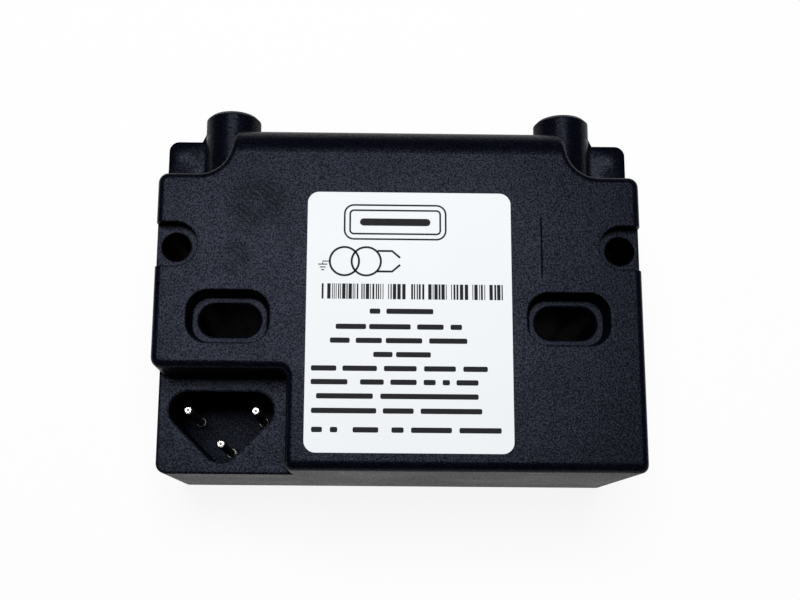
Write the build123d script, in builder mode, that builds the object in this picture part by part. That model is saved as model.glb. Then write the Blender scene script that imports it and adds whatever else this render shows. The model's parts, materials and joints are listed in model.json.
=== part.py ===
"""Potted ignition transformer with two high-voltage sockets and a sunk three-pin mains socket.

It lies on its open back with the label up: +Z out of the labelled face, +Y toward the high-voltage
sockets, +X to the right. The origin is below the middle of the whole outline. Lengths are millimetres.
"""

from build123d import *
import os

os.makedirs("parts", exist_ok=True)

# Housing, outside
body_width = 115.4
body_depth = 83.8
body_height = 52.0
wall = 2.3
face_wall = 2.6
corner_radius = 2.5
edge_radius = 1.7
front_radius = 2.2
lip_radius = 7.5

# Pockets sunk into the corners of the face
ledge_drop = 13.5
shoulder_width = 17.2
shoulder_depth = 12.7
shoulder_curve = 7.8
mains_pocket_width = 31.7
mains_pocket_depth = 23.55
mains_pocket_corner = 2.0

# Fixing slots
slot_from_side = 17.7
slot_share = 0.4266
slot_length = 14.6
slot_width = 7.8
slot_chamfer = 0.4
recess_margin = 2.5
recess_corner = 5.1
recess_depth = 4.9
recess_draft = 11.0
sleeve_wall = 1.8

# Fixing holes in the side notches
hole_radius = 3.55
hole_side_web = 1.05
hole_from_shoulder = 17.9
notch_radius = 5.45
notch_depth = 3.2

# High-voltage sockets
tower_reach = 6.0
tower_from_side = 16.15
tower_radius = 6.87
tower_rim_chamfer = 0.9
tower_root_spread = 1.0
tower_root_reach = 2.2
bore_radius = 3.8
bore_entry_depth = 9.0
bore_seat_radius = 3.5
bore_depth = 20.0
bore_floor = 2.5

# Mains socket
socket_from_side = 15.3
socket_row_from_front = 15.4
socket_lobe = 4.5
socket_floor_height = 14.5
socket_wall = 1.6
pin_span = 16.4
pin_rise = 8.1
pin_radius = 1.0
pin_chamfer = 0.25
pin_tip_drop = 0.8
pin_root_radius = 1.2
pin_tail = 3.2

# Label
label_width = 48.3
label_height = 62.3
label_corner = 2.7
label_thickness = 0.12
label_from_left = 36.0
label_from_front = 4.0

# Resin
resin_recess = 1.0
closing_layer_depth = 4.0

# Core and coils
core_clearance = 0.8
limb_share = 0.21
yoke_back_gap = 2.0
coil_cover = 5.9
coil_end_gap = 1.0
former_wall = 1.3
flange_thickness = 1.2
crossing_width = 2.0
wrap_thickness = 0.6
window_share = 0.27
primary_front_gap = 1.0
primary_build = 8.0
shunt_gap = 1.0
spacer_thickness = 0.8
secondary_chambers = 4

# Terminals and straps
terminal_radius = 1.5
terminal_flange_radius = 3.2
terminal_flange_thickness = 1.5
terminal_spike_length = 9.0
terminal_tail = 1.6
strap_width = 3.0
strap_thickness = 0.5
strap_overlap = 5.0
strap_spacing = 5.5
strap_room = 6.5

# Reference planes and lines
half_width = body_width / 2
front_y = -(body_depth + tower_reach) / 2
back_y = front_y + body_depth
mouth_y = back_y + tower_reach
ledge_z = body_height - ledge_drop
shoulder_y = back_y - shoulder_depth
shoulder_x = half_width - shoulder_width
mains_pocket_x = mains_pocket_width - half_width
mains_pocket_y = front_y + mains_pocket_depth
slot_x = half_width - slot_from_side
slot_y = front_y + slot_share * body_depth
recess_floor_z = body_height - recess_depth
hole_x = half_width - hole_side_web - hole_radius
hole_y = shoulder_y - hole_from_shoulder
tower_x = half_width - tower_from_side
tube_start_y = mouth_y - bore_depth - bore_floor
socket_x = socket_from_side - half_width
socket_y = front_y + socket_row_from_front
sides = {"left": -1, "right": 1}
pin_places = {
    "line": (socket_x - pin_span / 2, socket_y),
    "neutral": (socket_x + pin_span / 2, socket_y),
    "earth": (socket_x, socket_y - pin_rise),
}
pin_tail_z = socket_floor_height - wall - pin_tail
socket_block_right = socket_x + pin_span / 2 + socket_lobe + socket_wall
socket_block_back = socket_y + socket_lobe + socket_wall

# The core, in the space between the mains socket, the slot sleeves and the walls
core_left = socket_block_right + core_clearance
core_right = slot_x - slot_length / 2 - sleeve_wall - core_clearance
core_width = core_right - core_left
limb = limb_share * core_width
limb_x = {"left": core_left + limb / 2, "right": core_right - limb / 2}
window = core_width - 2 * limb
window_x = (core_left + core_right) / 2
secondary_build = window_share * window
core_z = (resin_recess + body_height - face_wall) / 2
coil_half_height = core_z - resin_recess - coil_cover
stack = 2 * (coil_half_height - max(primary_build, secondary_build))
base_yoke_y = front_y + wall + primary_front_gap + primary_build + limb / 2
back_yoke_y = back_y - wall - yoke_back_gap - limb / 2
primary_end_y = base_yoke_y + limb / 2 + primary_build
secondary_start_y = slot_y + slot_width / 2 + sleeve_wall + coil_end_gap
secondary_end_y = min(back_yoke_y - limb / 2 - coil_end_gap, tube_start_y - strap_room)
secondary_length = secondary_end_y - secondary_start_y
tail_end_y = tube_start_y - terminal_tail


def write(part, name):
    """Label one finished piece and write it under its own name."""
    part.label = name
    export_step(part, f"parts/{name}.step")


def nearest_vertex(sketch, x, y):
    """The corner of a sketch that lies nearest to a point."""
    return sketch.vertices().sort_by_distance((x, y))[0]


def face_outline():
    """Plan of the raised face, with the two shoulders and the mains pocket cut away."""
    corners = [
        (mains_pocket_x, front_y, 0),
        (half_width, front_y, 0),
        (half_width, shoulder_y, corner_radius),
        (shoulder_x, shoulder_y, shoulder_curve),
        (shoulder_x, back_y, 0),
        (-shoulder_x, back_y, 0),
        (-shoulder_x, shoulder_y, shoulder_curve),
        (-half_width, shoulder_y, corner_radius),
        (-half_width, mains_pocket_y, corner_radius),
        (mains_pocket_x, mains_pocket_y, mains_pocket_corner),
    ]
    with BuildSketch() as outline:
        with BuildLine():
            FilletPolyline(
                [(x, y) for x, y, _ in corners],
                radius=[radius for _, _, radius in corners],
                close=True,
            )
        make_face()
    return outline.sketch


def side_profile(inset, top_inset):
    """Side view of the housing, rounded at the front edge and at the lip between the sockets."""
    top = body_height - top_inset
    front = front_y + inset
    back = back_y - inset
    front_round = max(front_radius - inset, edge_radius / 2)
    lip_round = max(lip_radius - inset, edge_radius / 2)
    with BuildSketch() as profile:
        with BuildLine():
            FilletPolyline(
                [(front, -wall), (back, -wall), (back, top), (front, top)],
                radius=[0, 0, lip_round, front_round],
                close=True,
            )
        make_face()
    return profile.sketch


def mains_socket_outline():
    """Rounded triangle round the three mains pins."""
    with BuildSketch() as outline:
        with Locations(*pin_places.values()):
            Circle(socket_lobe)
        make_hull()
    return outline.sketch


def block(x, y, z, width, depth, height):
    """Plain box by its middle and its sizes."""
    with BuildPart() as piece:
        with Locations((x, y, z)):
            Box(width, depth, height)
    return piece.part


def coil(start, length, build, chambers):
    """Former, winding and wrap of one coil round a core leg, from its start plane along the leg."""
    wound = build - wrap_thickness
    pitch = (length - flange_thickness) / chambers
    crossing_depth = wound - former_wall
    with BuildPart() as former:
        with BuildSketch(start):
            Rectangle(limb + 2 * former_wall, stack + 2 * former_wall)
        extrude(amount=length)
        for index in range(chambers + 1):
            with BuildSketch(start.offset(index * pitch)):
                Rectangle(limb + 2 * wound, stack + 2 * wound)
            extrude(amount=flange_thickness)
        with BuildSketch(start):
            Rectangle(limb, stack)
        extrude(amount=length, mode=Mode.SUBTRACT)
        # the wire crosses each inner flange in a slot
        if chambers > 1:
            with BuildSketch(start.offset(flange_thickness)):
                with Locations((0, stack / 2 + former_wall + crossing_depth / 2)):
                    Rectangle(crossing_width, crossing_depth)
            extrude(amount=length - 2 * flange_thickness, mode=Mode.SUBTRACT)
    with BuildPart() as winding:
        with BuildSketch(start.offset(flange_thickness)):
            Rectangle(limb + 2 * wound, stack + 2 * wound)
            Rectangle(limb, stack, mode=Mode.SUBTRACT)
        extrude(amount=length - 2 * flange_thickness)
        add(former.part, mode=Mode.SUBTRACT)
    with BuildPart() as wrap:
        with BuildSketch(start):
            Rectangle(limb + 2 * build, stack + 2 * build)
            Rectangle(limb + 2 * wound, stack + 2 * wound, mode=Mode.SUBTRACT)
        extrude(amount=length)
    return former.part, winding.part, wrap.part


def strap(plane, points, side, width):
    """Flat strip bent along a line that is drawn on its plane, with its thickness to one side."""
    with BuildPart() as piece:
        with BuildSketch(plane):
            with BuildLine():
                Polyline(*points)
                offset(amount=strap_thickness, side=side, kind=Kind.INTERSECTION)
            make_face()
        extrude(amount=width / 2, both=True)
    return piece.part


# Cavity of the housing, which the resin fills
with BuildPart() as cavity:
    with BuildSketch():
        with Locations((0, (front_y + back_y) / 2)):
            Rectangle(body_width - 2 * wall, body_depth - 2 * wall)
    extrude(amount=ledge_z - wall)
    with BuildSketch(Plane.XY.offset(ledge_z - wall)):
        add(face_outline())
        offset(amount=-wall, kind=Kind.INTERSECTION)
    extrude(amount=ledge_drop)
    with BuildSketch(Plane.YZ):
        add(side_profile(wall, face_wall))
    extrude(amount=half_width, both=True, mode=Mode.INTERSECT)
    # sleeves round the fixing slots, with a cup under each recess
    with BuildSketch():
        with Locations((-slot_x, slot_y), (slot_x, slot_y)):
            SlotOverall(slot_length + 2 * sleeve_wall, slot_width + 2 * sleeve_wall)
    extrude(amount=body_height, mode=Mode.SUBTRACT)
    with BuildSketch(Plane.XY.offset(recess_floor_z - sleeve_wall)):
        with Locations((-slot_x, slot_y), (slot_x, slot_y)):
            Rectangle(
                slot_length + 2 * (recess_margin + sleeve_wall),
                slot_width + 2 * (recess_margin + sleeve_wall),
            )
    extrude(amount=body_height, mode=Mode.SUBTRACT)
    # bosses of the side holes, joined to the side walls, with a wider block under each notch
    with BuildSketch():
        for side in sides.values():
            with Locations((side * hole_x, hole_y)):
                Circle(hole_radius + sleeve_wall)
            with Locations((side * half_width, hole_y)):
                Rectangle(2 * (half_width - hole_x), 2 * (hole_radius + sleeve_wall))
    extrude(amount=body_height, mode=Mode.SUBTRACT)
    notch_reach = notch_radius + sleeve_wall
    with BuildSketch(Plane.XY.offset(body_height - notch_depth - sleeve_wall)):
        with Locations((-half_width, hole_y), (half_width, hole_y)):
            Rectangle(2 * (half_width - hole_x + notch_reach), 2 * notch_reach)
    extrude(amount=body_height, mode=Mode.SUBTRACT)
    # blocks round the high-voltage sockets
    with BuildSketch(Plane.XZ.offset(-tube_start_y)):
        with Locations((-tower_x, ledge_z), (tower_x, ledge_z)):
            Rectangle(2 * tower_radius, 2 * tower_radius)
        with Locations((-half_width, ledge_z), (half_width, ledge_z)):
            Rectangle(2 * (half_width - tower_x), 2 * tower_radius)
    extrude(amount=-(mouth_y - tube_start_y), mode=Mode.SUBTRACT)
    # block round the mains socket
    with BuildSketch(Plane.XY.offset(socket_floor_height - wall)):
        with Locations((socket_block_right, socket_block_back)):
            Rectangle(body_width, body_depth, align=(Align.MAX, Align.MAX))
    extrude(amount=ledge_z - socket_floor_height + wall, mode=Mode.SUBTRACT)

# Housing
with BuildPart() as housing:
    with BuildSketch() as base:
        with Locations((0, (front_y + back_y) / 2)):
            Rectangle(body_width, body_depth)
        rounded = [(-half_width, front_y), (-half_width, back_y), (half_width, back_y)]
        fillet([nearest_vertex(base, x, y) for x, y in rounded], corner_radius)
    extrude(amount=ledge_z)
    with BuildSketch(Plane.XY.offset(ledge_z - wall)):
        add(face_outline())
    extrude(amount=ledge_drop + wall)
    with BuildSketch(Plane.YZ):
        add(side_profile(0, 0))
    extrude(amount=half_width, both=True, mode=Mode.INTERSECT)
    # the rim of the face, carried over the lip and down the upright corners
    rim = edges().group_by(Axis.Z)[-1].filter_by(
        lambda edge: abs(edge.center().Y - (back_y - lip_radius)) > edge_radius
        and abs(edge.center().Y - (front_y + front_radius)) > edge_radius / 4
    )
    fillet(rim, edge_radius)
    # sockets that stand out of the back wall, each with a flare where it leaves the wall
    with BuildSketch(Plane.XZ.offset(-tube_start_y)):
        with Locations((-tower_x, ledge_z), (tower_x, ledge_z)):
            Circle(tower_radius)
    extrude(amount=-(mouth_y - tube_start_y))
    chamfer(edges().group_by(Axis.Y)[-1], tower_rim_chamfer)
    for side in sides.values():
        tower = Plane(origin=(side * tower_x, back_y, ledge_z), x_dir=(1, 0, 0), z_dir=(0, 0, 1))
        with BuildSketch(tower):
            with BuildLine():
                Polyline(
                    (0, 0),
                    (tower_radius + tower_root_spread, 0),
                    (tower_radius, tower_root_reach),
                    (0, tower_root_reach),
                    close=True,
                )
            make_face()
        revolve(axis=Axis((side * tower_x, 0, ledge_z), (0, 1, 0)), revolution_arc=180)
    add(cavity.part, mode=Mode.SUBTRACT)
    # recesses and fixing slots
    with BuildSketch(Plane.XY.offset(body_height)):
        with Locations((-slot_x, slot_y), (slot_x, slot_y)):
            RectangleRounded(
                slot_length + 2 * recess_margin, slot_width + 2 * recess_margin, recess_corner
            )
    extrude(amount=-recess_depth, taper=recess_draft, mode=Mode.SUBTRACT)
    with BuildSketch():
        with Locations((-slot_x, slot_y), (slot_x, slot_y)):
            SlotOverall(slot_length, slot_width)
    extrude(amount=body_height, mode=Mode.SUBTRACT)
    chamfer(edges(Select.LAST).group_by(Axis.Z)[-1], slot_chamfer)
    # notches and side holes
    with BuildSketch(Plane.XY.offset(body_height)):
        for side in sides.values():
            with Locations((side * hole_x, hole_y)):
                Circle(notch_radius)
            with Locations((side * (hole_x + notch_radius), hole_y)):
                Rectangle(2 * notch_radius, 2 * notch_radius)
    extrude(amount=-notch_depth, mode=Mode.SUBTRACT)
    with BuildSketch():
        with Locations((-hole_x, hole_y), (hole_x, hole_y)):
            Circle(hole_radius)
    extrude(amount=body_height, mode=Mode.SUBTRACT)
    # bores of the high-voltage sockets, narrower at their seats, and the holes of their terminals
    for radius, depth in (
        (bore_radius, bore_entry_depth),
        (bore_seat_radius, bore_depth),
        (terminal_radius, bore_depth + bore_floor),
    ):
        with BuildSketch(Plane.XZ.offset(-mouth_y)):
            with Locations((-tower_x, ledge_z), (tower_x, ledge_z)):
                Circle(radius)
        extrude(amount=depth, mode=Mode.SUBTRACT)
    # mains socket and the holes of its pins
    with BuildSketch(Plane.XY.offset(socket_floor_height)):
        add(mains_socket_outline())
    extrude(amount=body_height, mode=Mode.SUBTRACT)
    with BuildSketch():
        with Locations(*pin_places.values()):
            Circle(pin_root_radius)
    extrude(amount=body_height, mode=Mode.SUBTRACT)

write(housing.part, "housing")

# Label, stuck on the face
label_x = label_from_left + label_width / 2 - half_width
label_y = front_y + label_from_front + label_height / 2
with BuildPart() as label:
    with BuildSketch(Plane.XY.offset(body_height)):
        with Locations((label_x, label_y)):
            RectangleRounded(label_width, label_height, label_corner)
    extrude(amount=label_thickness)

write(label.part, "label")

# Mains pins, each on a thicker root that fills its hole in the socket floor
buried = []
for name, (x, y) in pin_places.items():
    with BuildPart() as pin:
        with BuildSketch(Plane.XY.offset(pin_tail_z)):
            with Locations((x, y)):
                Circle(pin_root_radius)
        extrude(amount=socket_floor_height - pin_tail_z)
        with BuildSketch(Plane.XY.offset(socket_floor_height)):
            with Locations((x, y)):
                Circle(pin_radius)
        extrude(amount=ledge_z - pin_tip_drop - socket_floor_height)
        chamfer(edges().group_by(Axis.Z)[-1], pin_chamfer)
    write(pin.part, f"{name}_pin")
    buried.append(pin.part)

# Core: a U stack, an I stack that closes it and a shunt across the window
with BuildPart() as core_u:
    with Locations((window_x, base_yoke_y, core_z)):
        Box(core_width, limb, stack)
    leg_length = back_yoke_y - base_yoke_y - limb
    with Locations(*[(x, base_yoke_y + (limb + leg_length) / 2, core_z) for x in limb_x.values()]):
        Box(limb, leg_length, stack)

core_yoke = block(window_x, back_yoke_y, core_z, core_width, limb, stack)
shunt_depth = secondary_start_y - primary_end_y - 2 * shunt_gap
shunt_y = (secondary_start_y + primary_end_y) / 2
core_shunt = block(window_x, shunt_y, core_z, window - 2 * spacer_thickness, shunt_depth, stack)

write(core_u.part, "core_u")
write(core_yoke, "core_yoke")
write(core_shunt, "core_shunt")
buried += [core_u.part, core_yoke, core_shunt]

for name, side in sides.items():
    spacer_x = window_x + side * (window - spacer_thickness) / 2
    spacer = block(spacer_x, shunt_y, core_z, spacer_thickness, shunt_depth, stack)
    write(spacer, f"shunt_spacer_{name}")
    buried.append(spacer)

# Primary coil on the base of the U, filling the window from leg to leg
primary_start = Plane(
    origin=(window_x - window / 2, base_yoke_y, core_z), x_dir=(0, 1, 0), z_dir=(1, 0, 0)
)
bobbin, winding, wrap = coil(primary_start, window, primary_build, 1)
write(bobbin, "primary_bobbin")
write(winding, "primary_winding")
write(wrap, "primary_wrap")
buried.append(
    block(
        window_x, base_yoke_y, core_z, window, limb + 2 * primary_build, stack + 2 * primary_build
    )
)

# Secondary coils, one on each leg, wound in chambers
for name, x in limb_x.items():
    secondary_start = Plane(
        origin=(x, secondary_start_y, core_z), x_dir=(1, 0, 0), z_dir=(0, 1, 0)
    )
    bobbin, winding, wrap = coil(
        secondary_start, secondary_length, secondary_build, secondary_chambers
    )
    write(bobbin, f"secondary_bobbin_{name}")
    write(winding, f"secondary_winding_{name}")
    write(wrap, f"secondary_wrap_{name}")
    buried.append(
        block(
            x,
            (secondary_start_y + secondary_end_y) / 2,
            core_z,
            limb + 2 * secondary_build,
            secondary_length,
            stack + 2 * secondary_build,
        )
    )

# High-voltage terminals in the bores, each with a spike for the cable and a strap to its coil
for name, side in sides.items():
    floor_y = tube_start_y + bore_floor
    spike_tip_y = floor_y + terminal_flange_thickness + terminal_spike_length
    with BuildPart() as terminal:
        with BuildSketch(Plane.XZ.offset(-tail_end_y)):
            with Locations((side * tower_x, ledge_z)):
                Circle(terminal_radius)
        extrude(amount=-(spike_tip_y - tail_end_y))
        chamfer(edges().group_by(Axis.Y)[-1], terminal_radius / 2)
        with BuildSketch(Plane.XZ.offset(-floor_y)):
            with Locations((side * tower_x, ledge_z)):
                Circle(terminal_flange_radius)
        extrude(amount=-terminal_flange_thickness)
    write(terminal.part, f"high_voltage_terminal_{name}")
    buried.append(terminal.part)

    landing_x = limb_x[name] + side * (limb + secondary_build) / 2
    bent = strap(
        Plane.XY.offset(ledge_z),
        [
            (side * (tower_x + strap_width / 2), tail_end_y),
            (landing_x, tail_end_y),
            (landing_x, secondary_end_y),
        ],
        Side.LEFT if side > 0 else Side.RIGHT,
        strap_width,
    )
    write(bent, f"high_voltage_strap_{name}")
    buried.append(bent)

# Mains straps from the pins to the end flange of the primary coil
primary_edge_x = window_x - window / 2
for name, reach in {"line": strap_spacing, "neutral": 0}.items():
    x, y = pin_places[name]
    with BuildPart() as flat:
        with BuildSketch(Plane.XY.offset(pin_tail_z)):
            with Locations((x - strap_width / 2, y + reach)):
                Rectangle(primary_edge_x - x + strap_width / 2, strap_width, align=(Align.MIN, Align.CENTER))
            with Locations((x, y - strap_width / 2)):
                Rectangle(strap_width, reach + strap_width, align=(Align.CENTER, Align.MIN))
        extrude(amount=-strap_thickness)
    write(flat.part, f"{name}_strap")
    buried.append(flat.part)

# Earth strap from its pin to the underside of the core
x, y = pin_places["earth"]
earth_y = base_yoke_y - limb / 2 + strap_thickness
with BuildPart() as earth_strap:
    with BuildSketch(Plane.XY.offset(pin_tail_z)):
        with Locations((x - strap_width / 2, y)):
            Rectangle(limb_x["left"] - x + strap_width, strap_width, align=(Align.MIN, Align.CENTER))
        with Locations((limb_x["left"], y - strap_width / 2)):
            Rectangle(strap_width, earth_y - y + strap_width / 2, align=(Align.CENTER, Align.MIN))
    extrude(amount=-strap_thickness)
    with BuildSketch(Plane.XY.offset(pin_tail_z)):
        with Locations((limb_x["left"], earth_y)):
            Rectangle(strap_width, strap_thickness, align=(Align.CENTER, Align.MAX))
    extrude(amount=core_z - stack / 2 - pin_tail_z)

write(earth_strap.part, "earth_strap")
buried.append(earth_strap.part)

# Tap straps from the inner end flange of each secondary to its core leg
for name, x in limb_x.items():
    leg_underside = core_z - stack / 2
    bent = strap(
        Plane.YZ.offset(x),
        [
            (secondary_start_y - strap_overlap, leg_underside),
            (secondary_start_y, leg_underside),
            (secondary_start_y, leg_underside - strap_overlap),
        ],
        Side.RIGHT,
        strap_width,
    )
    write(bent, f"tap_strap_{name}")
    buried.append(bent)

# Resin, cast round everything inside, and its closing layer a little below the rim of the open back
closing_layer_z = resin_recess + closing_layer_depth
with BuildPart() as potting:
    add(cavity.part)
    with Locations((0, 0, closing_layer_z / 2)):
        Box(2 * body_width, 2 * body_depth, closing_layer_z, mode=Mode.SUBTRACT)
    for piece in buried:
        add(piece, mode=Mode.SUBTRACT)

with BuildPart() as closing_layer:
    add(cavity.part)
    with Locations((0, 0, resin_recess + closing_layer_depth / 2)):
        Box(2 * body_width, 2 * body_depth, closing_layer_depth, mode=Mode.INTERSECT)

write(potting.part, "potting_compound")
write(closing_layer.part, "closing_layer")
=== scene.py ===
"""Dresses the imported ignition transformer: materials, print, pin tips, floor, light and camera."""

import json
import math
import random

import bmesh
import bpy
from mathutils import Matrix, Vector


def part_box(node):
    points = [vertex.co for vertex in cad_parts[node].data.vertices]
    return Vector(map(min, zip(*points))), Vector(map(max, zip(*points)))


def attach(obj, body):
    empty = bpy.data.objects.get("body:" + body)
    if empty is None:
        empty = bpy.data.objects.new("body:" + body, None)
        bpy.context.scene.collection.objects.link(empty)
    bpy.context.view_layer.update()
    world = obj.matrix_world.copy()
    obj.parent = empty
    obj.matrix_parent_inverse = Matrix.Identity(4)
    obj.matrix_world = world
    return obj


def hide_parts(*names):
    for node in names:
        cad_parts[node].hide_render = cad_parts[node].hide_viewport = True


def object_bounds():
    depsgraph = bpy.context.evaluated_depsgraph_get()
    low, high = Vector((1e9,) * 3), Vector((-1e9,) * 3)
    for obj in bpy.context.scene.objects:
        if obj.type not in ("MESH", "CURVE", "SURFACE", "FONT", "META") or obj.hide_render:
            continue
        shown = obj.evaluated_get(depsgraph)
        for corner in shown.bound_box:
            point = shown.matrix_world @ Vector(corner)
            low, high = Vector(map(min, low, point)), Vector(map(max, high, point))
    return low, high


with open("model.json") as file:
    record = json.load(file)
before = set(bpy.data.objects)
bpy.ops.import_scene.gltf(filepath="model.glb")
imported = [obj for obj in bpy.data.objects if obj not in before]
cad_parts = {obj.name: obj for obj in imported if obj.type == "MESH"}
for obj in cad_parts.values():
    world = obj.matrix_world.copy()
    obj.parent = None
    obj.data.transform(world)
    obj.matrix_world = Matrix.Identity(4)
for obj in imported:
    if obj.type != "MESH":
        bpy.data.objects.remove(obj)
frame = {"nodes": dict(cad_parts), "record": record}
cad_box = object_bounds()
nodes = frame["nodes"]
MM = 0.001


# ---------------------------------------------------------------- material helpers


class Shader:
    """A node material that is read in row coordinates, with short calls for the nodes used here."""

    def __init__(self, name, colour, roughness, metallic=0.0, specular=0.5):
        self.material = bpy.data.materials.new(name)
        self.material.use_nodes = True
        self.tree = self.material.node_tree
        self.tree.nodes.clear()
        self.output = self.tree.nodes.new("ShaderNodeOutputMaterial")
        self.bsdf = self.tree.nodes.new("ShaderNodeBsdfPrincipled")
        self.link(self.bsdf.outputs["BSDF"], self.output.inputs["Surface"])
        self.bsdf.inputs["Base Color"].default_value = (*colour, 1.0)
        self.bsdf.inputs["Roughness"].default_value = roughness
        self.bsdf.inputs["Metallic"].default_value = metallic
        self.bsdf.inputs["Specular IOR Level"].default_value = specular
        coordinates = self.tree.nodes.new("ShaderNodeTexCoord")
        self.place = coordinates.outputs["Object"]
        self.heights = []

    def link(self, source, target):
        self.tree.links.new(source, target)

    def feed(self, socket, value):
        if isinstance(value, bpy.types.NodeSocket):
            self.link(value, socket)
        else:
            socket.default_value = value

    def axis(self, index):
        split = self.tree.nodes.new("ShaderNodeSeparateXYZ")
        self.link(self.place, split.inputs[0])
        return split.outputs[index]

    def stretched(self, scale):
        mapping = self.tree.nodes.new("ShaderNodeMapping")
        mapping.inputs["Scale"].default_value = scale
        self.link(self.place, mapping.inputs["Vector"])
        return mapping.outputs["Vector"]

    def noise(self, scale, detail=2.0, rough=0.5, vector=None, distortion=0.0):
        node = self.tree.nodes.new("ShaderNodeTexNoise")
        node.inputs["Scale"].default_value = scale
        node.inputs["Detail"].default_value = detail
        node.inputs["Roughness"].default_value = rough
        node.inputs["Distortion"].default_value = distortion
        self.link(vector or self.place, node.inputs["Vector"])
        return node.outputs["Fac"]

    def cells(self, scale, feature="F1", vector=None):
        node = self.tree.nodes.new("ShaderNodeTexVoronoi")
        node.feature = feature
        node.inputs["Scale"].default_value = scale
        self.link(vector or self.place, node.inputs["Vector"])
        return node.outputs["Distance"]

    def waves(self, scale, direction, distortion=0.0, profile="SIN", vector=None):
        node = self.tree.nodes.new("ShaderNodeTexWave")
        node.bands_direction = direction
        node.wave_profile = profile
        node.inputs["Scale"].default_value = scale
        node.inputs["Distortion"].default_value = distortion
        self.link(vector or self.place, node.inputs["Vector"])
        return node.outputs["Fac"]

    def math(self, operation, a, b=0.0, clamp=False):
        node = self.tree.nodes.new("ShaderNodeMath")
        node.operation = operation
        node.use_clamp = clamp
        self.feed(node.inputs[0], a)
        self.feed(node.inputs[1], b)
        return node.outputs[0]

    def remap(self, value, low, high, to_low=0.0, to_high=1.0, smooth=True):
        node = self.tree.nodes.new("ShaderNodeMapRange")
        node.interpolation_type = "SMOOTHSTEP" if smooth else "LINEAR"
        self.link(value, node.inputs["Value"])
        node.inputs["From Min"].default_value = low
        node.inputs["From Max"].default_value = high
        node.inputs["To Min"].default_value = to_low
        node.inputs["To Max"].default_value = to_high
        return node.outputs["Result"]

    def mix(self, factor, first, second):
        node = self.tree.nodes.new("ShaderNodeMix")
        node.data_type = "RGBA"
        self.feed(node.inputs[0], factor)
        for socket, value in ((node.inputs[6], first), (node.inputs[7], second)):
            if isinstance(value, bpy.types.NodeSocket):
                self.link(value, socket)
            else:
                socket.default_value = (*value, 1.0)
        return node.outputs[2]

    def round_mask(self, centre, radius, soft=0.5):
        """1 round a point and 0 outside a radius, both in metres."""
        node = self.tree.nodes.new("ShaderNodeVectorMath")
        node.operation = "DISTANCE"
        self.link(self.place, node.inputs[0])
        node.inputs[1].default_value = centre
        return self.remap(node.outputs["Value"], radius * soft, radius, 1.0, 0.0)

    def distance(self, index, middle):
        """How far a point lies from a place on one axis, in metres."""
        return self.math("ABSOLUTE", self.math("SUBTRACT", self.axis(index), middle))

    def strongest(self, masks):
        total = masks[0]
        for mask in masks[1:]:
            total = self.math("MAXIMUM", total, mask)
        return total

    def dulled(self, value, mask, share):
        """The value less a share of it where the mask is 1."""
        kept = self.math("SUBTRACT", 1.0, self.math("MULTIPLY", mask, share))
        return self.math("MULTIPLY", value, kept)

    def line_mask(self, across, position, along, start, end):
        """1 on a thin straight line of the surface and 0 beside it, all in metres."""
        line = self.remap(self.distance(across, position), 0.0, LINE_WIDTH, 1.0, 0.0)
        middle = (start + end) / 2
        reach = abs(end - start) / 2
        ends = self.remap(self.distance(along, middle), reach * 0.7, reach, 1.0, 0.0)
        return self.math("MULTIPLY", line, ends)

    def wall_mask(self):
        """1 on upright walls and 0 on level faces."""
        coordinates = self.tree.nodes.new("ShaderNodeTexCoord")
        split = self.tree.nodes.new("ShaderNodeSeparateXYZ")
        self.link(coordinates.outputs["Normal"], split.inputs[0])
        return self.remap(self.math("ABSOLUTE", split.outputs[2]), 0.2, 0.7, 1.0, 0.0)

    def edge_mask(self, radius, reach=0.25):
        """1 where the surface turns a sharp edge."""
        bevel = self.tree.nodes.new("ShaderNodeBevel")
        bevel.samples = 4
        bevel.inputs["Radius"].default_value = radius
        geometry = self.tree.nodes.new("ShaderNodeNewGeometry")
        dot = self.tree.nodes.new("ShaderNodeVectorMath")
        dot.operation = "DOT_PRODUCT"
        self.link(bevel.outputs[0], dot.inputs[0])
        self.link(geometry.outputs["Normal"], dot.inputs[1])
        return self.remap(dot.outputs["Value"], 1.0 - reach, 1.0, 1.0, 0.0)

    def bump(self, height, depth, strength=1.0):
        self.heights.append((height, depth, strength))

    def finish(self, bevel=None):
        """Chains the bumps, over edges that are rounded by the given radius."""
        normal = None
        if bevel is not None:
            node = self.tree.nodes.new("ShaderNodeBevel")
            node.samples = 6
            self.feed(node.inputs["Radius"], bevel)
            normal = node.outputs[0]
        for height, depth, strength in self.heights:
            node = self.tree.nodes.new("ShaderNodeBump")
            node.inputs["Strength"].default_value = strength
            node.inputs["Distance"].default_value = depth
            self.link(height, node.inputs["Height"])
            if normal is not None:
                self.link(normal, node.inputs["Normal"])
            normal = node.outputs["Normal"]
        if normal is not None:
            self.link(normal, self.bsdf.inputs["Normal"])
        return self.material


# ---------------------------------------------------------------- materials


# Places on the housing, in metres: middle and radius of each spot, and lines as
# (across, position, along, start, end), where across and along are axes.
FINGER_MARKS = (((-0.0335, 0.0175, 0.052), 0.0095), ((-0.0385, 0.0050, 0.052), 0.0050))
NICKS = (((-0.0398, -0.0047, 0.0520), 0.0016), ((-0.0007, -0.0449, 0.0100), 0.0007))
EAR_BULGES = (((-0.0546, 0.0356, 0.0385), 0.0080), ((0.0546, 0.0356, 0.0385), 0.0080))
MOULD_LINES = ((0, -0.0251, 1, -0.0055, 0.0160), (1, 0.0131, 0, -0.0305, -0.0245))
SINK_LINE = (0, 0.0336, 1, 0.0, 0.0165)
LINE_WIDTH = 0.0005
SOCKET_SIDES = ((0, -0.0424, 0.0130), (1, -0.0305, 0.0136))
BACK_WALL_Y = 0.0389
PRINT_DULLS, NICK_SHADE, SOCKET_SHADE = 0.5, 0.9, 0.6
OUTER_WALL_SHEEN = 7.0
LEDGE_ABOVE_PINS = 0.8 * MM
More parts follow.
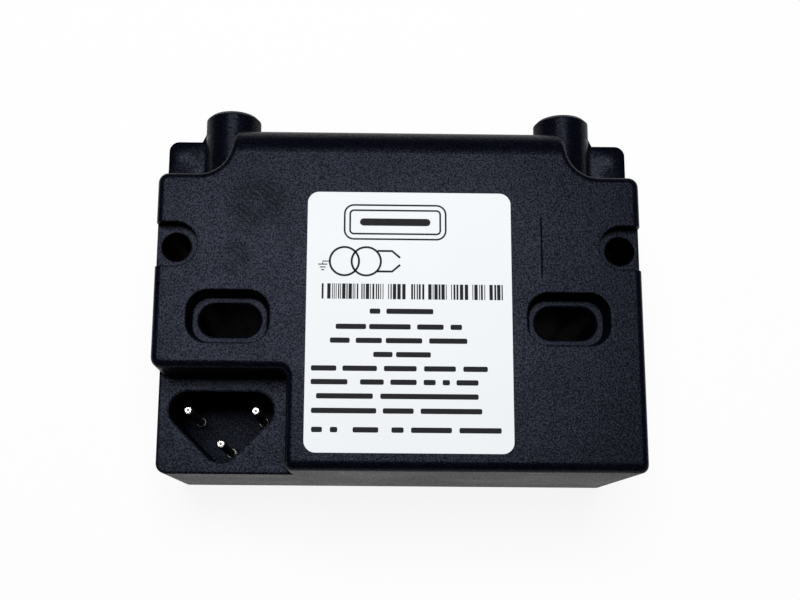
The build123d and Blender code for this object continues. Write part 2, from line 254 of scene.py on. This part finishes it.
EDGE_ROUND, LEDGE_ROUND, EAR_ROUND = 0.5 * MM, 0.55 * MM, 1.1 * MM


def black_plastic():
    shader = Shader("black_plastic", (0.002, 0.0024, 0.006), 0.30, specular=0.03)
    shader.bsdf.inputs["Specular Tint"].default_value = (0.67, 0.75, 1.0, 1.0)
    cloud = shader.noise(55.0, 3.0, 0.55)
    grain = shader.noise(2400.0, 2.0, 0.7)
    pits = shader.remap(shader.cells(1100.0), 0.0, 0.45, 1.0, 0.0)
    colour = shader.mix(cloud, (0.0008, 0.0010, 0.0030), (0.0014, 0.0017, 0.0044))
    colour = shader.mix(shader.remap(grain, 0.42, 0.66), colour, (0.0034, 0.0038, 0.0076))
    edges = shader.edge_mask(EDGE_ROUND)
    worn = shader.math("MULTIPLY", edges, shader.remap(shader.noise(300.0, 3.0), 0.42, 0.7))
    colour = shader.mix(shader.math("MULTIPLY", worn, 0.5), colour, (0.012, 0.013, 0.018))
    # finger marks beside the label
    marks = shader.strongest([shader.round_mask(*spot) for spot in FINGER_MARKS])
    ridges = shader.waves(370.0, "DIAGONAL", 4.0)
    marks = shader.math("MULTIPLY", marks, shader.remap(shader.noise(150.0, 3.0), 0.30, 0.62))
    ridges = shader.math("ADD", shader.math("MULTIPLY", ridges, 0.75), 0.25)
    prints = shader.math("MULTIPLY", marks, ridges)
    colour = shader.mix(shader.math("MULTIPLY", prints, 0.8), colour, (0.0040, 0.0062, 0.0060))
    shader.link(colour, shader.bsdf.inputs["Base Color"])
    rough = shader.remap(cloud, 0.3, 0.7, 0.24, 0.30)
    rough = shader.math("ADD", rough, shader.math("MULTIPLY", prints, 0.05))
    rough = shader.math("SUBTRACT", rough, shader.math("MULTIPLY", worn, 0.06))
    wall_rough = shader.remap(grain, 0.37, 0.63, 0.06, 0.34)
    rough = shader.math("ADD", rough, shader.math("MULTIPLY", shader.wall_mask(), wall_rough))
    shader.link(rough, shader.bsdf.inputs["Roughness"])
    shine = shader.remap(grain, 0.37, 0.63, 0.020, 0.090)
    shine = shader.dulled(shine, prints, PRINT_DULLS)
    # a nick at the rim of the left recess, and one low on the front wall, each darkened as a painted
    # shade by cutting its shine
    nicks = shader.strongest([shader.round_mask(*spot, 0.7) for spot in NICKS])
    shine = shader.dulled(shine, nicks, NICK_SHADE)
    # painted shade: duller inside the mains socket, so that it reads dark; painted sheen: glossier
    # on the outer walls, so that they read lighter
    socket_shade = shader.remap(shader.axis(2), 0.0350, 0.0382, 1.0, 0.0)
    for index, middle, reach in SOCKET_SIDES:
        between = shader.remap(shader.distance(index, middle), reach, reach + 0.7 * MM, 1.0, 0.0)
        socket_shade = shader.math("MULTIPLY", socket_shade, between)
    shine = shader.dulled(shine, socket_shade, SOCKET_SHADE)
    # painted sheen: the shine on the outer side walls and the back wall is raised so they read
    # lighter
    wall_sheen = shader.remap(shader.math("ABSOLUTE", shader.axis(0)), 0.0566, 0.0572)
    back = shader.distance(1, BACK_WALL_Y)
    wall_sheen = shader.math("MAXIMUM", wall_sheen, shader.remap(back, 0.3 * MM, 0.7 * MM, 1.0, 0.0))
    wall_sheen = shader.math("MULTIPLY", wall_sheen, shader.wall_mask())
    sheen_gain = shader.math("ADD", 1.0, shader.math("MULTIPLY", wall_sheen, OUTER_WALL_SHEEN))
    shine = shader.math("MULTIPLY", shine, sheen_gain)
    shader.link(shine, shader.bsdf.inputs["Specular IOR Level"])
    # lines where ribs and ejectors of the mould show through
    faint = shader.strongest([shader.line_mask(*line) for line in MOULD_LINES])
    sinks = shader.line_mask(*SINK_LINE)
    sinks = shader.math("MAXIMUM", sinks, shader.math("MULTIPLY", faint, 0.4))
    shader.bump(shader.noise(18.0, 1.0), 1.2 * MM, 0.06)
    shader.bump(sinks, 0.12 * MM, 0.7)
    # the ears beside the sockets bulge a little
    bulge = shader.strongest([shader.round_mask(*spot, 0.0) for spot in EAR_BULGES])
    shader.bump(bulge, 1.3 * MM, 1.0)
    shader.bump(prints, 0.04 * MM, 0.6)
    shader.bump(shader.math("MULTIPLY", nicks, -1.0), 0.5 * MM, 1.0)
    shader.bump(grain, 0.08 * MM, 0.45)
    shader.bump(pits, 0.03 * MM, 0.30)
    # the edges of the ledges are rounder than the rest, most of all beside the sockets
    ledge_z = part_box("line_pin")[1][2] + LEDGE_ABOVE_PINS
    ledge = shader.remap(shader.distance(2, ledge_z), 1.2 * MM, 2.2 * MM, 1.0, 0.0)
    ear = shader.math("MULTIPLY", ledge, shader.remap(shader.axis(1), 0.0240, 0.0255))
    radius = shader.math("MULTIPLY", ledge, LEDGE_ROUND)
    radius = shader.math("ADD", radius, shader.math("MULTIPLY", ear, EAR_ROUND))
    return shader.finish(shader.math("ADD", radius, EDGE_ROUND))


def label_film():
    shader = Shader("label_film", (0.84, 0.85, 0.87), 0.38, specular=0.12)
    cloud = shader.noise(40.0, 3.0)
    fibre = shader.noise(1400.0, 2.0)
    colour = shader.mix(cloud, (0.80, 0.83, 0.855), (0.84, 0.865, 0.885))
    colour = shader.mix(shader.math("MULTIPLY", fibre, 0.12), colour, (0.72, 0.74, 0.77))
    shader.link(colour, shader.bsdf.inputs["Base Color"])
    shader.link(shader.remap(cloud, 0.3, 0.7, 0.34, 0.46), shader.bsdf.inputs["Roughness"])
    shader.bump(shader.noise(60.0, 2.0), 0.10 * MM, 0.25)
    shader.bump(fibre, 0.01 * MM, 0.25)
    return shader.finish()


def label_ink():
    shader = Shader("label_ink", (0.009, 0.009, 0.011), 0.55, specular=0.05)
    specks = shader.noise(2200.0, 2.0)
    colour = shader.mix(specks, (0.006, 0.006, 0.008), (0.020, 0.020, 0.024))
    shader.link(colour, shader.bsdf.inputs["Base Color"])
    shader.link(shader.remap(specks, 0.2, 0.8, 0.42, 0.6), shader.bsdf.inputs["Roughness"])
    shader.bump(specks, 0.004 * MM, 0.3)
    return shader.finish()


PIN_NAMES = ("line", "neutral", "earth")
TIP_SHADE_RADIUS = 0.34 * MM


def plated(name, light, dark, rough, shade_below=None):
    shader = Shader(name, light, rough, metallic=1.0)
    drawn = shader.noise(900.0, 3.0, vector=shader.stretched((1.0, 1.0, 0.06)))
    tarnish = shader.remap(shader.noise(260.0, 4.0), 0.45, 0.75)
    colour = shader.mix(shader.math("MULTIPLY", tarnish, 0.6), light, dark)
    total = shader.remap(drawn, 0.2, 0.8, rough - 0.06, rough + 0.08)
    total = shader.math("ADD", total, shader.math("MULTIPLY", tarnish, 0.12))
    if shade_below is not None:
        # painted shade: the tip keeps its bright colour, while the shaft below it gets a much darker
        # colour standing in for the socket's shade, and is made rougher
        shaft_shade = shader.remap(shader.axis(2), shade_below - 1.6 * MM, shade_below, 1.0, 0.0)
        colour = shader.mix(shaft_shade, colour, tuple(0.16 * channel for channel in light))
        total = shader.math("ADD", total, shader.math("MULTIPLY", shaft_shade, 0.12))
        # painted shade: the flat middle of each tip is coloured near black inside its bright rim
        for name in PIN_NAMES:
            low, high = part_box(f"{name}_pin")
            tip = ((low[0] + high[0]) / 2, (low[1] + high[1]) / 2, high[2])
            spot = shader.round_mask(tip, TIP_SHADE_RADIUS, 0.75)
            colour = shader.mix(spot, colour, (0.012, 0.012, 0.012))
    shader.link(colour, shader.bsdf.inputs["Base Color"])
    shader.link(total, shader.bsdf.inputs["Roughness"])
    shader.bump(drawn, 0.02 * MM, 0.35)
    return shader.finish(0.12 * MM)


def cast_resin():
    shader = Shader("cast_resin", (0.02, 0.018, 0.016), 0.3)
    cloud = shader.noise(45.0, 4.0, 0.6, distortion=0.6)
    filler = shader.noise(1900.0, 3.0)
    bubbles = shader.remap(shader.cells(170.0), 0.0, 0.10, 1.0, 0.0)
    colour = shader.mix(cloud, (0.014, 0.013, 0.012), (0.034, 0.031, 0.028))
    colour = shader.mix(shader.math("MULTIPLY", filler, 0.3), colour, (0.05, 0.046, 0.042))
    shader.link(colour, shader.bsdf.inputs["Base Color"])
    shader.link(shader.remap(cloud, 0.3, 0.7, 0.24, 0.44), shader.bsdf.inputs["Roughness"])
    shader.bump(shader.noise(26.0, 2.0), 1.0 * MM, 0.5)
    shader.bump(bubbles, 0.25 * MM, 0.6)
    shader.bump(filler, 0.02 * MM, 0.3)
    return shader.finish()


def core_steel():
    shader = Shader("core_steel", (0.35, 0.36, 0.38), 0.42, metallic=1.0)
    sheets = shader.waves(630.0, "Z", 0.3, "SAW")
    scale = shader.noise(120.0, 4.0)
    seams = shader.remap(sheets, 0.0, 0.18, 1.0, 0.0)
    colour = shader.mix(scale, (0.27, 0.28, 0.31), (0.42, 0.43, 0.45))
    colour = shader.mix(seams, colour, (0.05, 0.05, 0.055))
    shader.link(colour, shader.bsdf.inputs["Base Color"])
    shader.link(shader.remap(scale, 0.3, 0.7, 0.34, 0.52), shader.bsdf.inputs["Roughness"])
    shader.bump(sheets, 0.06 * MM, 0.5)
    shader.bump(shader.noise(1600.0, 2.0), 0.01 * MM, 0.3)
    return shader.finish()


def enamelled_copper():
    shader = Shader("enamelled_copper", (0.55, 0.22, 0.08), 0.3, metallic=0.85)
    turns = shader.waves(900.0, "Y", 0.25)
    tint = shader.noise(90.0, 3.0)
    colour = shader.mix(tint, (0.42, 0.15, 0.05), (0.62, 0.27, 0.10))
    colour = shader.mix(shader.remap(turns, 0.0, 0.35, 0.8, 0.0), colour, (0.08, 0.03, 0.015))
    shader.link(colour, shader.bsdf.inputs["Base Color"])
    shader.link(shader.remap(tint, 0.3, 0.7, 0.22, 0.36), shader.bsdf.inputs["Roughness"])
    shader.bump(turns, 0.12 * MM, 0.8)
    return shader.finish()


def soft_solid(name, low, high, grain_scale, rough, depth):
    """A dull insulating solid with a mottled colour and its own grain."""
    shader = Shader(name, low, rough)
    mottle = shader.noise(140.0, 4.0, 0.6)
    grain = shader.noise(grain_scale, 3.0, 0.6)
    colour = shader.mix(mottle, low, high)
    dark = tuple(0.7 * channel for channel in low)
    colour = shader.mix(shader.math("MULTIPLY", grain, 0.3), colour, dark)
    shader.link(colour, shader.bsdf.inputs["Base Color"])
    total = shader.remap(grain, 0.2, 0.8, rough - 0.06, rough + 0.06)
    shader.link(total, shader.bsdf.inputs["Roughness"])
    shader.bump(grain, depth, 0.5)
    return shader.finish(0.15 * MM)


materials = {
    "black_plastic": black_plastic(),
    "label_film": label_film(),
    "plated_brass": plated("plated_brass", (0.74, 0.73, 0.70), (0.42, 0.40, 0.36), 0.28),
    "tinned_copper": plated("tinned_copper", (0.70, 0.69, 0.66), (0.45, 0.40, 0.34), 0.38),
    "cast_resin": cast_resin(),
    "core_steel": core_steel(),
    "enamelled_copper": enamelled_copper(),
    "pressboard": soft_solid(
        "pressboard", (0.42, 0.30, 0.17), (0.52, 0.38, 0.23), 900.0, 0.8, 0.05 * MM
    ),
    "bobbin_nylon": soft_solid(
        "bobbin_nylon", (0.68, 0.66, 0.57), (0.76, 0.73, 0.64), 1500.0, 0.5, 0.02 * MM
    ),
    "insulating_tape": soft_solid(
        "insulating_tape", (0.62, 0.44, 0.08), (0.74, 0.55, 0.13), 500.0, 0.3, 0.03 * MM
    ),
}
ink = label_ink()
pin_tip_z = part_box("line_pin")[1][2]
pin_metal = plated("plated_pin", (0.80, 0.80, 0.78), (0.5, 0.48, 0.45), 0.24, pin_tip_z - 0.2 * MM)

for part in frame["record"]["subparts"]:
    mesh_object = nodes[part["node"]]
    finish_material = materials[part["material_slot"]]
    if part["node"].endswith("_pin"):
        finish_material = pin_metal
    if not mesh_object.material_slots:
        mesh_object.data.materials.append(finish_material)
    for holder in mesh_object.material_slots:
        holder.material = finish_material


# ---------------------------------------------------------------- mesh helpers


def new_piece(name, bm, material, smooth=False, angle=35.0):
    """Turns a bmesh in row metres into a piece that rides on the part."""
    bmesh.ops.remove_doubles(bm, verts=bm.verts, dist=1e-7)
    bmesh.ops.recalc_face_normals(bm, faces=bm.faces)
    mesh = bpy.data.meshes.new(name)
    bm.to_mesh(mesh)
    bm.free()
    mesh.materials.append(material)
    piece = bpy.data.objects.new(name, mesh)
    bpy.context.scene.collection.objects.link(piece)
    if smooth:
        for polygon in mesh.polygons:
            polygon.use_smooth = True
        mesh.set_sharp_from_angle(angle=math.radians(angle))
    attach(piece, "root")
    return piece


def rounded_outline(x0, y0, x1, y1, radius, steps=8):
    """Points round a rectangle with rounded corners, anticlockwise."""
    radius = min(radius, (x1 - x0) / 2, (y1 - y0) / 2)
    points = []
    for cx, cy, first in (
        (x1 - radius, y0 + radius, -90),
        (x1 - radius, y1 - radius, 0),
        (x0 + radius, y1 - radius, 90),
        (x0 + radius, y0 + radius, 180),
    ):
        for index in range(steps + 1):
            turn = math.radians(first + 90 * index / steps)
            points.append((cx + radius * math.cos(turn), cy + radius * math.sin(turn)))
    return points


def prism(bm, outline, z0, z1):
    """Closed solid between two heights over an outline, all in metres."""
    low = [bm.verts.new((x, y, z0)) for x, y in outline]
    high = [bm.verts.new((x, y, z1)) for x, y in outline]
    bm.faces.new(low[::-1])
    bm.faces.new(high)
    count = len(outline)
    for index in range(count):
        after = (index + 1) % count
        bm.faces.new((low[index], low[after], high[after], high[index]))


def band(bm, points, half_width, z0, z1, closed=False):
    """Flat line of even width along points, as a closed solid."""
    count = len(points)
    rows = []
    for index, (x, y) in enumerate(points):
        before = points[index - 1] if closed or index > 0 else (x, y)
        after = points[(index + 1) % count] if closed or index < count - 1 else (x, y)
        direction = Vector((after[0] - before[0], after[1] - before[1])).normalized()
        side = Vector((-direction.y, direction.x)) * half_width
        corners = [(x + side.x, y + side.y), (x - side.x, y - side.y)]
        rows.append(
            [bm.verts.new((px, py, z)) for z in (z0, z1) for px, py in corners]
        )
    pairs = list(zip(rows, rows[1:] + rows[:1] if closed else rows[1:]))
    for (a, b, c, d), (e, f, g, h) in pairs:
        bm.faces.new((a, b, f, e))
        bm.faces.new((c, g, h, d))
        bm.faces.new((a, e, g, c))
        bm.faces.new((b, d, h, f))
    if not closed:
        a, b, c, d = rows[0]
        bm.faces.new((a, c, d, b))
        e, f, g, h = rows[-1]
        bm.faces.new((e, f, h, g))


def lathe(bm, profile, centre, segments):
    """Turns a closed profile of (radius, height) round the upright axis through a centre."""
    rings = []
    for radius, height in profile:
        ring = []
        for index in range(segments):
            turn = 2 * math.pi * index / segments
            point = Vector((radius * math.cos(turn), radius * math.sin(turn), height))
            ring.append(bm.verts.new(Vector(centre) + point))
        rings.append(ring)
    for ring, other in zip(rings, rings[1:] + rings[:1]):
        for index in range(segments):
            after = (index + 1) % segments
            bm.faces.new((ring[index], ring[after], other[after], other[index]))


# ---------------------------------------------------------------- label

label_low, label_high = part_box("label")
INK_HEIGHT = 0.02 * MM
LABEL_CORNER = 2.7 * MM
film_top = label_high[2] - INK_HEIGHT
bm = bmesh.new()
outline = rounded_outline(*label_low[:2], *label_high[:2], LABEL_CORNER, 12)
prism(bm, outline, label_low[2], film_top)
label = new_piece("label_sheet", bm, materials["label_film"])
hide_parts("label")

# Places on the label are millimetres from its lower left corner.


def on_label(x, y):
    return label_low[0] + x * MM, label_low[1] + y * MM


ink_mesh = bmesh.new()
ink_low, ink_high = film_top, film_top + INK_HEIGHT


def printed_bar(x, y, width, height, radius):
    x0, y0 = on_label(x, y)
    corners = rounded_outline(x0, y0, x0 + width * MM, y0 + height * MM, radius * MM, 3)
    prism(ink_mesh, corners, ink_low, ink_high)


def printed_line(points, width, closed=False):
    band(ink_mesh, [on_label(x, y) for x, y in points], width * MM / 2, ink_low, ink_high, closed)


def printed_ring(x, y, radius, width):
    turns = [2 * math.pi * index / 40 for index in range(40)]
    points = [(x + radius * math.cos(turn), y + radius * math.sin(turn)) for turn in turns]
    printed_line(points, width, closed=True)


draws = random.Random(7)

# Each row: height of its middle, then the start and end of each bar.
WORD_ROWS = (
    (33.2, ((14.9, 17.4), (18.8, 29.8))),
    (29.5, ((7.0, 14.1), (14.8, 24.5), (26.0, 32.2), (33.8, 36.5))),
    (26.2, ((5.7, 10.3), (11.7, 17.8), (18.7, 27.2), (28.8, 37.7))),
    (22.9, ((15.8, 20.3), (21.1, 29.2))),
    (19.6, ((1.4, 7.3), (8.7, 16.7), (18.3, 25.9), (27.6, 35.0), (36.7, 42.4))),
    (16.4, ((1.4, 9.9), (12.8, 18.3), (19.8, 25.9), (27.5, 30.3), (31.9, 33.6), (35.1, 40.2))),
    (13.1, ((2.7, 15.8), (17.5, 40.2))),
    (9.7, ((1.6, 16.6), (18.1, 25.2), (26.8, 41.0))),
    (5.3, ((1.7, 4.2), (6.0, 7.7), (11.2, 17.1), (20.1, 22.9), (24.6, 34.0), (35.7, 45.4))),
)
BAR_HEIGHT = 1.25
BAR_CORNER = 0.35
for middle, spans in WORD_ROWS:
    for start, end in spans:
        printed_bar(start, middle - BAR_HEIGHT / 2, end - start, BAR_HEIGHT, BAR_CORNER)

# upright bars in groups, of random widths
BAR_GROUPS = (
    (3.6, 4.2), (4.9, 12.2), (12.9, 18.3), (19.2, 23.7), (24.6, 27.7),
    (28.6, 33.3), (34.0, 38.0), (39.0, 42.0), (43.0, 46.2),
)
GROUP_LOW, GROUP_HEIGHT, GROUP_CORNER = 36.1, 3.7, 0.02
BAR_WIDTHS = (0.2, 0.3, 0.45, 0.8)
BAR_GAPS = (0.2, 0.25, 0.35)
LEAST_REST = 0.15
for start, end in BAR_GROUPS:
    x = start
    while x < end - LEAST_REST:
        width = min(draws.choice(BAR_WIDTHS), end - x)
        printed_bar(x, GROUP_LOW, width, GROUP_HEIGHT, GROUP_CORNER)
        x += width + draws.choice(BAR_GAPS)

# a plain frame at the top
FRAME_PLACE = (8.8, 50.7, 32.8, 59.1)
FRAME_CORNER, FRAME_STROKE = 2.2, 0.42
for inset in (0.0, 1.3):
    x0, y0, x1, y1 = FRAME_PLACE
    corner = FRAME_CORNER - inset
    corners = rounded_outline(x0 + inset, y0 + inset, x1 - inset, y1 - inset, corner, 8)
    printed_line(corners, FRAME_STROKE, closed=True)
printed_bar(12.4, 54.0, 16.8, 1.8, 0.9)

# circuit sign of a transformer: two windings, two leads and a tap
WINDING_RADIUS = 3.45
STROKE, THIN_STROKE = 0.5, 0.25
for x in (8.85, 14.0):
    printed_ring(x, 45.24, WINDING_RADIUS, STROKE)
LEAD_Y = 45.3
for side in (1, -1):
    lead_y, end_y = LEAD_Y + side * 2.5, LEAD_Y + side * 0.85
    printed_line([(16.6, lead_y), (20.1, lead_y), (22.0, end_y)], STROKE)
EARTH_X, EARTH_Y = 3.75, 44.45
printed_line([(5.4, 45.2), (EARTH_X, 45.2), (EARTH_X, 44.5)], THIN_STROKE)
for drop, reach in ((0.0, 1.1), (0.7, 0.7), (1.35, 0.35)):
    row_y = EARTH_Y - drop
    printed_line([(EARTH_X - reach, row_y), (EARTH_X + reach, row_y)], THIN_STROKE)

new_piece("label_print", ink_mesh, ink)

# ---------------------------------------------------------------- pin tips

# the rounded rim on the end of each pin
CROWN_RADIUS, CROWN_HALF_WIDTH, CROWN_HEIGHT = 0.5 * MM, 0.2 * MM, 0.16 * MM
CROWN_STEPS, CROWN_SEGMENTS = 16, 40
for name in PIN_NAMES:
    low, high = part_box(f"{name}_pin")
    middle = ((low[0] + high[0]) / 2, (low[1] + high[1]) / 2, high[2])
    bm = bmesh.new()
    crown = []
    for index in range(CROWN_STEPS + 1):
        turn = math.pi * index / CROWN_STEPS
        height = CROWN_HEIGHT * math.sin(turn)
        crown.append((CROWN_RADIUS + CROWN_HALF_WIDTH * math.cos(turn), height))
    lathe(bm, crown, middle, CROWN_SEGMENTS)
    new_piece(f"{name}_pin_tip", bm, pin_metal, smooth=True)

# ---------------------------------------------------------------- floor, light, camera

floor_mesh = bpy.data.meshes.new("floor")
FLOOR_REACH = 3.0
floor_mesh.from_pydata(
    [(FLOOR_REACH * x, FLOOR_REACH * y, 0) for x, y in ((-1, -1), (1, -1), (1, 1), (-1, 1))],
    [],
    [(0, 1, 2, 3)],
)
floor = bpy.data.objects.new("floor", floor_mesh)
bpy.context.scene.collection.objects.link(floor)

floor_shader = Shader("floor_white", (0.92, 0.92, 0.925), 0.8, specular=0.2)
paper = floor_shader.mix(floor_shader.noise(30.0, 2.0), (0.90, 0.90, 0.905), (0.93, 0.93, 0.935))
floor_shader.link(paper, floor_shader.bsdf.inputs["Base Color"])
floor_shader.bump(floor_shader.noise(400.0, 2.0), 0.02 * MM, 0.1)
floor_shader.finish()
# most of what the camera and reflections see of the floor is even white, so its shadow stays faint
GLOW_SHARE = 0.90
tree = floor_shader.tree
glow = tree.nodes.new("ShaderNodeEmission")
glow.inputs["Color"].default_value = (1, 1, 1, 1)
glow.inputs["Strength"].default_value = 1.0
ray = tree.nodes.new("ShaderNodeLightPath")
seen = floor_shader.math("MAXIMUM", ray.outputs["Is Camera Ray"], ray.outputs["Is Glossy Ray"])
seen = floor_shader.math("MAXIMUM", seen, ray.outputs["Is Transmission Ray"])
blend = tree.nodes.new("ShaderNodeMixShader")
# no glow under the part, where the floor is dark: the foot's middle and half size on each axis
SOCKET_OVERHANG = 0.006
FADE_INSIDE, FADE_OUTSIDE = 0.003, 0.001
foot = (
    (0, (cad_box[0][0] + cad_box[1][0]) / 2, 0.0565),
    (1, (cad_box[0][1] + cad_box[1][1]) / 2 - SOCKET_OVERHANG / 2, 0.0395),
)
beside = []
for index, middle, reach in foot:
    away = floor_shader.distance(index, middle)
    beside.append(floor_shader.remap(away, reach - FADE_INSIDE, reach + FADE_OUTSIDE))
open_floor = floor_shader.strongest(beside)
seen = floor_shader.math("MULTIPLY", seen, open_floor)
floor_shader.link(floor_shader.math("MULTIPLY", seen, GLOW_SHARE), blend.inputs[0])
floor_shader.link(floor_shader.bsdf.outputs["BSDF"], blend.inputs[1])
floor_shader.link(glow.outputs["Emission"], blend.inputs[2])
floor_shader.link(blend.outputs["Shader"], floor_shader.output.inputs["Surface"])
floor_mesh.materials.append(floor_shader.material)

ROOM_STRENGTH = 0.05
world = bpy.data.worlds.new("studio")
bpy.context.scene.world = world
world.use_nodes = True
tree = world.node_tree
tree.nodes.clear()
output = tree.nodes.new("ShaderNodeOutputWorld")
background = tree.nodes.new("ShaderNodeBackground")
backdrop = tree.nodes.new("ShaderNodeBackground")
background.inputs["Color"].default_value = (0.93, 0.96, 1.0, 1)
background.inputs["Strength"].default_value = ROOM_STRENGTH
backdrop.inputs["Color"].default_value = (1, 1, 1, 1)
backdrop.inputs["Strength"].default_value = 1.0
ray = tree.nodes.new("ShaderNodeLightPath")
choose = tree.nodes.new("ShaderNodeMixShader")
tree.links.new(ray.outputs["Is Camera Ray"], choose.inputs[0])
tree.links.new(background.outputs[0], choose.inputs[1])
tree.links.new(backdrop.outputs[0], choose.inputs[2])
tree.links.new(choose.outputs[0], output.inputs["Surface"])

# one soft panel overhead, aimed straight down
LAMP_PLACE = (-0.04, 0.24, 0.98)
LAMP_WIDTH = 0.60
LAMP_DEPTH = 0.46
LAMP_POWER = 10.7
lamp_data = bpy.data.lights.new("overhead", "AREA")
lamp_data.shape = "RECTANGLE"
lamp_data.size = LAMP_WIDTH
lamp_data.size_y = LAMP_DEPTH
lamp_data.energy = LAMP_POWER
lamp = bpy.data.objects.new("overhead", lamp_data)
lamp.location = LAMP_PLACE
lamp.rotation_euler = Vector((0, 0, -1)).to_track_quat("-Z", "Y").to_euler()
bpy.context.scene.collection.objects.link(lamp)

# the camera fitted to the photo, moved by a third of a pixel each way
CAMERA_PLACE = (-0.00820, -0.06536, 0.30208)
LENS = 49.34
SHIFT = (0.0306, 0.0629)
camera_data = bpy.data.cameras.new("camera")
camera_data.sensor_width = 36.0
camera_data.lens = LENS
camera_data.shift_x, camera_data.shift_y = SHIFT
camera_data.clip_start = 0.01
camera = bpy.data.objects.new("camera", camera_data)
bpy.context.scene.collection.objects.link(camera)
right = Vector((0.99990, 0.00694, 0.01268))
up = -Vector((0.00922, -0.98180, -0.18970))
back = -Vector((0.01113, 0.18980, -0.98176))
turn = Matrix((right, up, back)).transposed().to_4x4()
camera.matrix_world = Matrix.Translation(CAMERA_PLACE) @ turn
bpy.context.scene.camera = camera

bpy.context.scene.view_settings.view_transform = "Standard"
